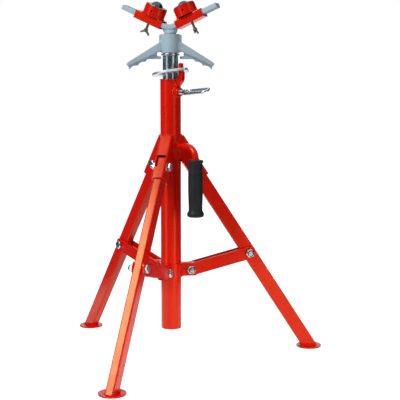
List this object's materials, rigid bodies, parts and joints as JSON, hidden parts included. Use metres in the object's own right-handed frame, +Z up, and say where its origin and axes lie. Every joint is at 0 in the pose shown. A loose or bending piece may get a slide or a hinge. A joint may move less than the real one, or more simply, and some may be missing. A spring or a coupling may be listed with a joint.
{
  "type": "roller stand",
  "caption": "Folding tripod pipe stand: telescoping mast with clutch plate and jack nut, vee head with ball transfers on sliding saddles, braced legs on a collar, and a carry handle.",
  "frame": {"origin": "on the floor, at the middle of the bounding box of the spread feet", "axes": "+Z up along the post; the front leg points along -Y; the vee arms lie along X"},
  "size_m": [0.6112, 0.5371, 0.7797],
  "materials": {
    "red_paint": "gloss red enamel",
    "grey_paint": "satin grey paint on cast iron",
    "zinc": "bright zinc plate",
    "chrome": "bright plated steel",
    "black_rubber": "moulded rubber",
    "nylon": "plain nylon"
  },
  "bodies": {
    "stand": {"outer_tube": "red_paint", "upper_bush": "nylon", "leg_bracket_front": "red_paint", "leg_bracket_right": "red_paint", "leg_bracket_left": "red_paint", "handle_rod": "red_paint", "handle_grip": "black_rubber", "lock_boss": "red_paint", "clutch_hook": "red_paint", "leg_pivot_bolt_front": "zinc", "leg_pivot_bolt_right": "zinc", "leg_pivot_bolt_left": "zinc", "leg_pivot_nut_front": "zinc", "leg_pivot_nut_right": "zinc", "leg_pivot_nut_left": "zinc"},
    "leg_front": {"leg_front": "red_paint", "foot_plate_front": "red_paint"},
    "leg_right": {"leg_right": "red_paint", "foot_plate_right": "red_paint"},
    "leg_left": {"leg_left": "red_paint", "foot_plate_left": "red_paint"},
    "collar": {"collar": "red_paint", "collar_bolt_front": "zinc", "collar_bolt_right": "zinc", "collar_bolt_left": "zinc", "collar_nut_front": "zinc", "collar_nut_right": "zinc", "collar_nut_left": "zinc"},
    "brace_front": {"brace_bar_front_left": "red_paint", "brace_bar_front_right": "red_paint", "brace_bolt_front": "zinc", "brace_nut_front": "zinc"},
    "brace_right": {"brace_bar_right_left": "red_paint", "brace_bar_right_right": "red_paint", "brace_bolt_right": "zinc", "brace_nut_right": "zinc"},
    "brace_left": {"brace_bar_left_left": "red_paint", "brace_bar_left_right": "red_paint", "brace_bolt_left": "zinc", "brace_nut_left": "zinc"},
    "mast_guide": {"mast_bush": "nylon"},
    "mast": {"inner_tube": "chrome", "thrust_flange": "chrome"},
    "jack_nut": {"jack_nut": "grey_paint"},
    "head": {"vee_head": "grey_paint", "head_screw": "zinc"},
    "saddle_left": {"saddle_left": "red_paint", "cup_left": "red_paint", "ball_housing_left": "zinc", "bearing_ring_left": "chrome"},
    "ball_left": {"ball_left": "chrome"},
    "wing_screw_left": {"wing_screw_left": "zinc"},
    "saddle_right": {"saddle_right": "red_paint", "cup_right": "red_paint", "ball_housing_right": "zinc", "bearing_ring_right": "chrome"},
    "ball_right": {"ball_right": "chrome"},
    "wing_screw_right": {"wing_screw_right": "zinc"},
    "clutch": {"clutch_plate": "zinc"},
    "lock": {"lock_screw": "zinc"}
  },
  "joints": [
    {"name": "leg_front_fold", "type": "hinge", "parent": "stand", "child": "leg_front", "pos_m": [0, 0.03302, 0.4245], "axis": [1, 0, 0], "range_deg": [0, 18]},
    {"name": "leg_right_fold", "type": "hinge", "parent": "stand", "child": "leg_right", "pos_m": [0.0407, 0.10352, 0.4245], "axis": [-0.5, 0.866, 0], "range_deg": [0, 18]},
    {"name": "leg_left_fold", "type": "hinge", "parent": "stand", "child": "leg_left", "pos_m": [-0.0407, 0.10352, 0.4245], "axis": [-0.5, -0.866, 0], "range_deg": [0, 18]},
    {"name": "collar_slide", "type": "slide", "parent": "stand", "child": "collar", "axis": [0, 0, 1], "range_m": [-0.1176, 0]},
    {"name": "brace_front_fold", "type": "hinge", "parent": "collar", "child": "brace_front", "pos_m": [0, 0.03652, 0.1912], "axis": [1, 0, 0], "range_deg": [-47.5, 0]},
    {"name": "brace_right_fold", "type": "hinge", "parent": "collar", "child": "brace_right", "pos_m": [0.03767, 0.10177, 0.1912], "axis": [-0.5, 0.866, 0], "range_deg": [-47.5, 0]},
    {"name": "brace_left_fold", "type": "hinge", "parent": "collar", "child": "brace_left", "pos_m": [-0.03767, 0.10177, 0.1912], "axis": [-0.5, -0.866, 0], "range_deg": [-47.5, 0]},
    {"name": "mast_slide", "type": "slide", "parent": "stand", "child": "mast_guide", "axis": [0, 0, 1], "range_m": [0, 0.4]},
    {"name": "mast_turn", "type": "hinge", "parent": "mast_guide", "child": "mast", "pos_m": [0, 0.08002, 0.3], "axis": [0, 0, 1], "continuous": true},
    {"name": "nut_turn", "type": "hinge", "parent": "mast", "child": "jack_nut", "pos_m": [0, 0.08002, 0.689], "axis": [0, 0, 1], "range_deg": [0, 7200]},
    {"name": "head_rise", "type": "slide", "parent": "mast", "child": "head", "axis": [0, 0, 1], "range_m": [0, 0.1]},
    {"name": "saddle_left_slide", "type": "slide", "parent": "head", "child": "saddle_left", "axis": [-0.9135, 0, 0.4067], "range_m": [0, 0.028]},
    {"name": "ball_left_roll", "type": "hinge", "parent": "saddle_left", "child": "ball_left", "pos_m": [-0.03236, 0.08002, 0.76561], "axis": [0, 1, 0], "continuous": true},
    {"name": "wing_screw_left_turn", "type": "hinge", "parent": "saddle_left", "child": "wing_screw_left", "pos_m": [-0.04898, 0.08002, 0.73688], "axis": [0.4067, 0, 0.9135], "continuous": true},
    {"name": "saddle_right_slide", "type": "slide", "parent": "head", "child": "saddle_right", "axis": [0.9135, 0, 0.4067], "range_m": [0, 0.028]},
    {"name": "ball_right_roll", "type": "hinge", "parent": "saddle_right", "child": "ball_right", "pos_m": [0.03236, 0.08002, 0.76561], "axis": [0, 1, 0], "continuous": true},
    {"name": "wing_screw_right_turn", "type": "hinge", "parent": "saddle_right", "child": "wing_screw_right", "pos_m": [0.04898, 0.08002, 0.73688], "axis": [-0.4067, 0, 0.9135], "continuous": true},
    {"name": "clutch_release", "type": "hinge", "parent": "stand", "child": "clutch", "pos_m": [0.03118, 0.06202, 0.63205], "axis": [0.5, 0.866, 0], "range_deg": [0, 10]},
    {"name": "lock_turn", "type": "hinge", "parent": "stand", "child": "lock", "pos_m": [0.03464, 0.06002, 0.5845], "axis": [0.866, -0.5, 0], "continuous": true}
  ],
  "couplings": [
    {"joint": "leg_right_fold", "follows": "leg_front_fold", "ratio": 1},
    {"joint": "leg_left_fold", "follows": "leg_front_fold", "ratio": 1},
    {"joint": "collar_slide", "follows": "leg_front_fold", "m_per_rad": -0.37402},
    {"joint": "brace_front_fold", "follows": "leg_front_fold", "ratio": -2.6388},
    {"joint": "brace_right_fold", "follows": "leg_front_fold", "ratio": -2.6388},
    {"joint": "brace_left_fold", "follows": "leg_front_fold", "ratio": -2.6388},
    {"joint": "head_rise", "follows": "nut_turn", "m_per_rad": 0.00079577}
  ]
}
